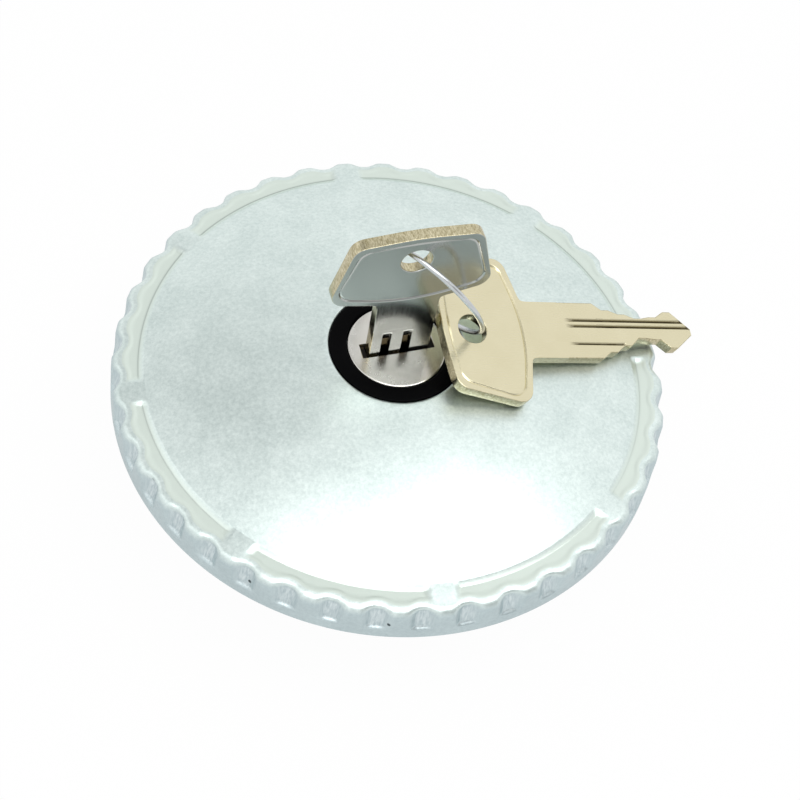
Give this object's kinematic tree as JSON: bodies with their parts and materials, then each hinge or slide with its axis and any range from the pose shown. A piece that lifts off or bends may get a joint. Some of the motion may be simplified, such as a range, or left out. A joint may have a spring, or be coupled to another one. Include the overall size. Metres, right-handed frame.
{
  "type": "lockable deck fill cap",
  "caption": "Domed round steel fuel filler cap with a fluted skirt, bayonet cup, key lock with sliding bolts, and a spare key on a wire ring.",
  "frame": {"origin": "on the cap's axis, in the sealing plane where the filler neck's rim meets the gasket", "axes": "+Z out of the tank along the cap's axis, +X along the keyway in the locked position"},
  "size_m": [0.0964, 0.09, 0.0622],
  "materials": {
    "zinc_plated_cover": "satin blue-white zinc plating",
    "zinc_plated_cup": "satin zinc plating",
    "spring_steel": "oiled spring steel",
    "nitrile_rubber": "matt",
    "black_bezel": "moulded black",
    "die_cast_zinc": "as cast",
    "plug_brass": "turned",
    "polished_steel": "polished",
    "key_nickel_silver": "nickel silver, stamped",
    "ring_wire": "drawn bright wire"
  },
  "bodies": {
    "cap": {"outer_cover": "zinc_plated_cover", "inner_cup": "zinc_plated_cup", "bayonet_ring": "zinc_plated_cup", "wave_spring": "spring_steel", "plate_snap_ring": "spring_steel", "lock_bezel": "black_bezel", "lock_seal": "nitrile_rubber", "lock_body": "die_cast_zinc", "body_rivets": "zinc_plated_cup", "vent_valve": "nitrile_rubber"},
    "seal": {"pressure_plate": "zinc_plated_cup", "gasket": "nitrile_rubber"},
    "plug": {"lock_plug": "plug_brass", "plug_face": "polished_steel", "wafers": "plug_brass", "wafer_springs": "spring_steel", "scroll_cam": "die_cast_zinc", "cam_screw": "zinc_plated_cup"},
    "right_bolt": {"bolt_right": "die_cast_zinc"},
    "left_bolt": {"bolt_left": "die_cast_zinc"},
    "key": {"lock_key": "key_nickel_silver"},
    "ring": {"key_ring": "ring_wire"},
    "spare": {"spare_key": "key_nickel_silver"}
  },
  "joints": [
    {"name": "plug_turn", "type": "hinge", "parent": "cap", "child": "plug", "pos_m": [0, 0, 0], "axis": [0, 0, 1], "range_deg": [0, 90]},
    {"name": "bolt_right_slide", "type": "slide", "parent": "cap", "child": "right_bolt", "axis": [1, 0, 0], "range_m": [-0.003, 0]},
    {"name": "bolt_left_slide", "type": "slide", "parent": "cap", "child": "left_bolt", "axis": [-1, 0, 0], "range_m": [-0.003, 0]},
    {"name": "key_slide", "type": "slide", "parent": "plug", "child": "key", "axis": [0, 0, 1], "range_m": [0, 0.021]},
    {"name": "ring_swing", "type": "hinge", "parent": "key", "child": "ring", "pos_m": [0, 0, 0.03386], "axis": [0, -1, 0], "range_deg": [0, 60]},
    {"name": "spare_key_lift", "type": "hinge", "parent": "ring", "child": "spare", "pos_m": [0.0108, -0.0025, 0.01571], "axis": [-0.0556, -0.9781, -0.2003], "range_deg": [0, 25]},
    {"name": "gasket_press", "type": "slide", "parent": "cap", "child": "seal", "axis": [0, 0, 1], "range_m": [0, 0.0008], "stiffness_N_per_m": 4000, "springref_m": -0.0015, "deforming": ["wave_spring"]}
  ],
  "couplings": [
    {"joint": "plug_turn", "follows": "bolt_right_slide", "rad_per_m": -523.59},
    {"joint": "bolt_left_slide", "follows": "bolt_right_slide", "ratio": 1}
  ]
}
